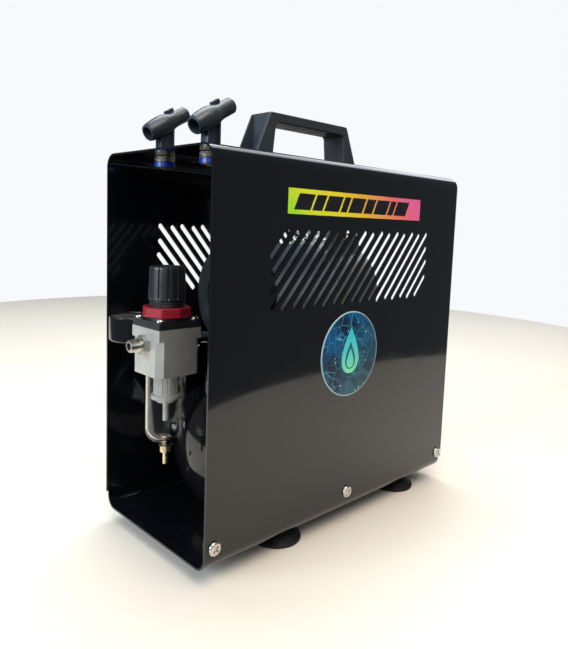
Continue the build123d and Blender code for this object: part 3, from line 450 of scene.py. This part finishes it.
def holder_spring(end):
    """A coil under the roof, made at rest on the case; the spring closes up as its holder is pulled."""
    node = f"holder_spring_{end}"
    low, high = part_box(node)
    centre = (low + high) / 2
    radius = (high.x - low.x) / 2 - WIRE
    steps = 48 * SPRING_TURNS
    made = bmesh.new()
    rings = []
    for step in range(steps + 1):
        angle = 2 * pi * SPRING_TURNS * step / steps
        out = Vector((cos(angle), sin(angle), 0))
        height = low.z + WIRE + (high.z - low.z - 2 * WIRE) * step / steps
        place = Vector((centre.x, centre.y, height)) + out * radius
        around = [2 * pi * corner / WIRE_SIDES for corner in range(WIRE_SIDES)]
        rings.append([made.verts.new(place + (out * cos(a) + Z_AXIS * sin(a)) * WIRE) for a in around])
    for first, second in zip(rings, rings[1:]):
        for corner in range(WIRE_SIDES):
            after = (corner + 1) % WIRE_SIDES
            made.faces.new((first[corner], first[after], second[after], second[corner]))
    made.faces.new(rings[0])
    made.faces.new(rings[-1])
    piece = finish_piece(made, f"{node}_coil", FINISHES["spring_steel"], "case", 40)
    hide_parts(node)
    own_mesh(piece)


for end in ("front", "rear"):
    airbrush_holder(end)
    holder_spring(end)


# ---------------------------------------------------------------- regulator knob
GROOVES = 12
KNOB_RADIUS = 0.01506  # at its lower edge
KNOB_TAPER = 0.00076  # how much slimmer it is at the top
SPINDLE_BORE = 0.0047
BORE_DEPTH = 0.018
FADE = 0.0008  # the grooves run out over this length at both ends


def regulator_knob():
    """The knob as one skin: fluted side, rounded top edge, shallow dish, blind bore below."""
    low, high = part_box("regulator_knob")
    centre = joint("regulator_spindle_turn")["pos_m"]
    origin = Vector((centre[0], centre[1], low.z))
    height = high.z - low.z

    def grooved(along, radius, angle):
        """Barely crowned lobes parted by fine grooves, fading at both ends."""
        share = (angle * GROOVES / (2 * pi) + 0.5) % 1.0
        from_groove = abs(share - 0.5) * 2
        cut = max(0, 1 - from_groove / 0.16)
        depth = 0.0008 * cut * (2 - cut) + 0.00022 * (1 - from_groove)
        fade = min(1, max(0, (along - 0.0010) / FADE)) * min(1, max(0, (height - along) / FADE))
        near_rim = min(1, max(0, (radius - 0.0128) / 0.0006))
        return radius - depth * fade * near_rim

    made = bmesh.new()
    side = [0.0004 + (height - 0.0016) * step / 16 for step in range(17)]
    side = [(place, KNOB_RADIUS - KNOB_TAPER * place / height) for place in side]
    top = [(height - 0.0004, side[-1][1] - 0.0004), (height, side[-1][1] - 0.0012), (height, 0.0105)]
    top += [(height - 0.0005, 0.0100), (height - 0.0005, 0)]
    bore = [(BORE_DEPTH, 0), (BORE_DEPTH, SPINDLE_BORE), (0, SPINDLE_BORE), (0, 0.0146)]
    turned(made, bore + side + top, origin, Z_AXIS, 288, grooved)
    piece = finish_piece(made, "knob_moulding", FINISHES["black_plastic"], "knob", 30)
    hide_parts("regulator_knob")


regulator_knob()


# ---------------------------------------------------------------- threads and welds
def thread(name, origin, axis, radius, length, pitch, material, body):
    """Rolled thread ridges as close rings on a plain shank."""
    made = bmesh.new()
    for index in range(int(length / pitch)):
        start = index * pitch
        ring = [(start, radius), (start + pitch * 0.3, radius + pitch * 0.28)]
        ring += [(start + pitch * 0.5, radius + pitch * 0.28), (start + pitch * 0.8, radius)]
        ring += [(start + pitch * 0.4, radius - pitch * 0.3), (start, radius)]
        turned(made, ring, origin, axis, 64)
    return finish_piece(made, name, material, body, 30)


def outlet_thread():
    """The outer end of the air outlet's thread."""
    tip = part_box("outlet_nipple")[0].x
    middle = centre_of("outlet_nipple")
    start = Vector((tip + 0.0085, middle.y, middle.z))
    thread("outlet_thread", start, -X_AXIS, 0.00488, 0.0075, 0.0009, FINISHES["nickel"], "case")


outlet_thread()


def bonnet_thread():
    """The black thread that shows between the ring nut and the knob."""
    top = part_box("bonnet")[1].z
    start = Vector((*joint("regulator_spindle_turn")["pos_m"][:2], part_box("ring_nut")[1].z + 0.0001))
    ridges = FINISHES["black_plastic"]
    thread("bonnet_thread", start, Z_AXIS, 0.01392, top - start.z, 0.0014, ridges, "case")


bonnet_thread()


TANK_AXIS = 0.0615  # above the lowest edge of its saddles


def tank_weld():
    """Seams where the dished ends are welded to the tank's barrel."""
    low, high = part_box("tank")
    radius = (high.y - low.y) / 2
    axis_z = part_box("tank_saddles")[0].z + TANK_AXIS
    seam = 0.0300  # from each end of the tank
    made = bmesh.new()
    for place in (low.x + seam, high.x - seam):
        ring = [(-0.0022, radius - 0.0003), (-0.0012, radius + 0.0005), (0, radius + 0.0008)]
        ring += [(0.0012, radius + 0.0005), (0.0022, radius - 0.0003), (-0.0022, radius - 0.0003)]
        turned(made, ring, (place, 0, axis_z), X_AXIS, 144)
    finish_piece(made, "tank_weld", FINISHES["tank_paint"], "case")


tank_weld()


# ---------------------------------------------------------------- pressure gauge
DIAL_SWEEP = 270  # degrees from the first mark to the last
DIAL_STEPS = 40
LAST_BLACK = 32  # marks past this one are red
LONG_MARK = (0.0030, 0.0004, 0.0032)  # length, width, and how far its middle is in from the edge
SHORT_MARK = (0.0016, 0.0002, 0.0025)


def dial_marks():
    """Scale marks round the dial, each fifth one long and the last eight red."""
    low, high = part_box("gauge_dial")
    centre = joint("gauge_needle_sweep")["pos_m"]
    radius = (high.x - low.x) / 2
    face = low.z + 0.0008
    black, red = bmesh.new(), bmesh.new()
    for index in range(DIAL_STEPS + 1):
        angle = radians(DIAL_SWEEP / 2 - DIAL_SWEEP * index / DIAL_STEPS)
        out = Vector((cos(angle), sin(angle), 0))
        length, width, inset = LONG_MARK if index % 5 == 0 else SHORT_MARK
        mark = box_outline(length, width)
        place = Vector((centre[0], centre[1], face)) + out * (radius - inset)
        prism(red if index > LAST_BLACK else black, mark, place, out, Z_AXIS.cross(out), 0.00004)
    finish_piece(black, "dial_marks", FINISHES["black_plastic"], "case")
    finish_piece(red, "dial_limit", FINISHES["red_plastic"], "case")


dial_marks()


# ---------------------------------------------------------------- stickers
BANNER_TONES = [
    (0.0, (0.46, 0.92, 0.02)),
    (0.12, (0.84, 0.95, 0.02)),
    (0.32, (1.0, 0.86, 0.02)),
    (0.56, (1.0, 0.50, 0.05)),
    (0.78, (1.0, 0.20, 0.17)),
    (1.0, (1.0, 0.13, 0.45)),
]
BLOCK_SHARES = [0.115, 0.075, 0.115, 0.05, 0.115, 0.075, 0.115, 0.05, 0.115]
DROPLET_STEPS = 64


def banner_foil(low, high):
    """Glossy foil running from green over yellow and orange to pink."""
    made = Finish("banner_foil", (0.9, 0.5, 0.3), 0.22, coat_weight=0.5, coat_roughness=0.08)
    parts = made.node("ShaderNodeSeparateXYZ", vector=made.place)
    along = made.ramp(parts.outputs["X"], low.x, high.x)
    rise = made.ramp(parts.outputs["Z"], low.z, high.z, -0.05, 0.05)
    drift = made.math("MULTIPLY", made.math("SUBTRACT", made.noise(14, 2), 0.5), 0.16)
    place = made.math("ADD", made.math("ADD", along, rise), drift)
    spread = made.tree.nodes.new("ShaderNodeValToRGB")
    made.tree.links.new(place, spread.inputs["Fac"])
    for stop, tone in BANNER_TONES[2:]:
        spread.color_ramp.elements.new(stop)
    for element, (stop, tone) in zip(spread.color_ramp.elements, BANNER_TONES):
        element.position = stop
        element.color = (*tone, 1)
    flecks = made.ramp(made.noise(1500, 1), 0.62, 0.75)
    speckle = made.math("MULTIPLY", flecks, 0.35)
    made.color(made.mix(speckle, spread.outputs["Color"], (1, 0.95, 0.8)))
    made.rough(made.ramp(made.noise(80), 0.3, 0.7, 0.16, 0.34))
    made.bump(made.noise(900, 2), 0.1, 0.00005)
    return made.material


def banner():
    """A foil strip with a row of plain leaning blocks printed on it."""
    low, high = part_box("banner_sticker")
    length, height = high.x - low.x, high.z - low.z
    paint(nodes["banner_sticker"], banner_foil(low, high))
    ink = moulded_plastic("banner_ink", (0.004, 0.004, 0.005), (0.012, 0.012, 0.014), 0.3)
    blocks = bmesh.new()
    lean = 0.30 * height
    tall = 0.64 * height
    scale = 0.8075 * (0.94 * length - lean) / sum(BLOCK_SHARES)
    gap = 0.012 * length
    start = low.x + 0.035 * length
    for share in BLOCK_SHARES:
        wide = share * scale
        outline = [(0, 0), (wide, 0), (wide + lean, tall), (lean, tall)]
        corner = Vector((start, low.y - 0.00002, low.z + height * 0.18))
        prism(blocks, outline, corner, X_AXIS, Z_AXIS, 0.00004)
        start += wide + gap
    finish_piece(blocks, "banner_blocks", ink, "case")


banner()


def badge_foil(centre, radius):
    """Night-blue ground with a fine net of lines, small dots and a pale rim."""
    made = Finish("badge_foil", (0.02, 0.08, 0.16), 0.2)
    made.shader.inputs["Specular IOR Level"].default_value = 0.25
    parts = made.node("ShaderNodeSeparateXYZ", vector=made.place)
    across = made.math("SUBTRACT", parts.outputs["X"], centre.x)
    upward = made.math("SUBTRACT", parts.outputs["Z"], centre.z)
    slant = made.math("ADD", made.math("MULTIPLY", across, -0.6), made.math("MULTIPLY", upward, 0.8))
    ground = made.mix(made.ramp(slant, -radius, radius), (0.03, 0.11, 0.12), (0.0, 0.10, 0.32))
    shade = made.mix(made.ramp(made.noise(60, 3), 0.42, 0.62), ground, (0.008, 0.02, 0.045))
    cells = made.node("ShaderNodeTexVoronoi", vector=made.place, scale=95)
    cells.feature = "DISTANCE_TO_EDGE"
    net = made.ramp(cells.outputs["Distance"], 0.0, 0.035, 1.0, 0.0)
    fade = made.ramp(made.noise(45, 2), 0.4, 0.6)
    lines = made.math("MULTIPLY", made.math("MULTIPLY", net, fade), 0.55)
    shade = made.mix(lines, shade, (0.16, 0.62, 0.72))
    points = made.node("ShaderNodeTexVoronoi", vector=made.place, scale=120)
    dots = made.ramp(points.outputs["Distance"], 0.07, 0.12, 0.8, 0.0)
    shade = made.mix(dots, shade, (0.45, 0.85, 0.9))
    squares = made.math("ADD", made.math("POWER", across, 2), made.math("POWER", upward, 2))
    rim = made.ramp(made.math("SQRT", squares), radius - 0.0011, radius - 0.0008)
    made.color(made.mix(rim, shade, (0.42, 0.6, 0.6)))
    made.rough(made.ramp(made.noise(80), 0.3, 0.7, 0.14, 0.3))
    made.bump(made.noise(600, 2), 0.08, 0.00005)
    return made.material


def droplet_foil(centre, radius):
    """Glossy print that runs from green at the bottom to blue at the top."""
    made = Finish("droplet_foil", (0.1, 0.8, 0.7), 0.2, coat_weight=0.5, coat_roughness=0.05)
    parts = made.node("ShaderNodeSeparateXYZ", vector=made.place)
    rise = made.ramp(parts.outputs["Z"], centre.z - 0.55 * radius, centre.z + 0.6 * radius)
    made.color(made.mix(rise, (0.20, 0.86, 0.42), (0.02, 0.62, 0.88)))
    made.rough(made.ramp(made.noise(80), 0.3, 0.7, 0.14, 0.3))
    return made.material


def badge():
    """A round print with a plain droplet, made of an open outline and a smaller full one."""
    low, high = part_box("round_badge")
    centre = (low + high) / 2
    radius = (high.x - low.x) / 2
    face_y = low.y - 0.00003
    paint(nodes["round_badge"], badge_foil(centre, radius))
    glow = droplet_foil(centre, radius)
    outline = []
    for step in range(DROPLET_STEPS):
        angle = 2 * pi * step / DROPLET_STEPS
        width = 0.42 * radius * sin(angle) * sin(angle / 2) ** 1.35
        outline.append((width, radius * (0.10 + 0.56 * cos(angle))))
    drop = bmesh.new()
    rings = []
    for size, down in ((1, 0), (0.58, 0.09 * radius), (0.42, 0.14 * radius)):
        points = [(centre.x + x * size, face_y, centre.z + y * size - down) for x, y in outline]
        rings.append([drop.verts.new(point) for point in points])
    outer, inner, core = rings
    for step in range(DROPLET_STEPS):
        after = (step + 1) % DROPLET_STEPS
        drop.faces.new((outer[step], outer[after], inner[after], inner[step]))
    drop.faces.new(core)
    finish_piece(drop, "badge_droplet", glow, "case")


badge()


# ---------------------------------------------------------------- studio
def studio_floor():
    """A round, warm white table top that ends behind the compressor."""
    bpy.ops.mesh.primitive_circle_add(
        vertices=256, radius=1.03, fill_type="NGON", location=(0.45, 0.55, 0)
    )
    floor = bpy.context.object
    floor.name = "studio_floor"
    made = Finish("studio_floor", (0.85, 0.78, 0.69), 0.6)
    made.mottle((0.85, 0.78, 0.69), (0.82, 0.75, 0.66), 1.2)
    paint(floor, made.material)


def area_light(name, place, target, size, power, color=(1, 1, 1)):
    """A rectangular lamp at place, turned towards target."""
    lamp = bpy.data.lights.new(name, "AREA")
    lamp.shape = "RECTANGLE"
    lamp.size, lamp.size_y = size
    lamp.energy = power
    lamp.color = color
    made = bpy.data.objects.new(name, lamp)
    bpy.context.scene.collection.objects.link(made)
    made.location = place
    made.rotation_euler = (Vector(target) - Vector(place)).to_track_quat("-Z", "Y").to_euler()


def studio_lights():
    """Six soft lamps and a dim sky, which the camera alone sees as a bright backdrop."""
    centre = (0, 0, 0.15)
    area_light("key_light", (-0.5, -1.0, 1.9), centre, (1.4, 1.4), 29, (1, 0.97, 0.92))
    area_light("side_light", (-1.9, 0.25, 0.75), centre, (1.2, 0.9), 40, (0.74, 0.89, 1))
    area_light("top_light", (0.3, 0.5, 1.9), (0, 0, 0.3), (1.2, 1.2), 27, (0.95, 0.98, 1))
    area_light("far_light", (1.5, 0.35, 1.6), (0, 0, 0.3), (1.0, 1.4), 11, (0.88, 0.95, 1))
    area_light("fill_light", (-1.3, -0.95, 0.6), (-0.1, 0, 0.2), (0.7, 0.7), 2.5)
    area_light("floor_light", (0.0, -0.5, 1.1), (0.0, -0.42, 0), (0.5, 0.5), 2.5, (1, 0.66, 0.36))
    world = bpy.data.worlds.new("studio")
    world.use_nodes = True
    tree = world.node_tree
    backdrop = tree.nodes["Background"]
    backdrop.inputs["Color"].default_value = (0.93, 0.95, 0.97, 1)
    backdrop.inputs["Strength"].default_value = 1.0
    dim = tree.nodes.new("ShaderNodeBackground")
    dim.inputs["Color"].default_value = (0.8, 0.93, 1, 1)
    dim.inputs["Strength"].default_value = 0.17
    path = tree.nodes.new("ShaderNodeLightPath")
    choose = tree.nodes.new("ShaderNodeMixShader")
    tree.links.new(path.outputs["Is Camera Ray"], choose.inputs[0])
    tree.links.new(dim.outputs[0], choose.inputs[1])
    tree.links.new(backdrop.outputs[0], choose.inputs[2])
    tree.links.new(choose.outputs[0], tree.nodes["World Output"].inputs["Surface"])
    bpy.context.scene.world = world


CAMERA_PLACE = (-0.40116, -0.40786, 0.27171)
CAMERA_ANGLES = (radians(44.13), radians(6.218), radians(2.021))  # azimuth, elevation, roll
CAMERA_LENS = 33.155  # mm, for a 36 mm sensor
CAMERA_SHIFT = -0.0516  # up, as a share of the picture's longer side


def photo_camera():
    """A three-quarter view from the regulator's end, from slightly above and slightly rolled."""
    azimuth, elevation, roll = CAMERA_ANGLES
    forward = Vector((sin(azimuth) * cos(elevation), cos(azimuth) * cos(elevation), -sin(elevation)))
    level = forward.cross(Z_AXIS).normalized()
    upright = level.cross(forward)
    right = level * cos(roll) + upright * sin(roll)
    up = upright * cos(roll) - level * sin(roll)
    data = bpy.data.cameras.new("photo_camera")
    data.sensor_width = 36
    data.lens = CAMERA_LENS
    data.shift_y = CAMERA_SHIFT
    data.clip_start = 0.01
    camera = bpy.data.objects.new("photo_camera", data)
    bpy.context.scene.collection.objects.link(camera)
    turn = Matrix((right, up, -forward)).transposed().to_4x4()
    camera.matrix_world = Matrix.Translation(CAMERA_PLACE) @ turn
    bpy.context.scene.camera = camera


photo_camera()
studio_floor()
studio_lights()
bpy.context.scene.view_settings.view_transform = "Standard"
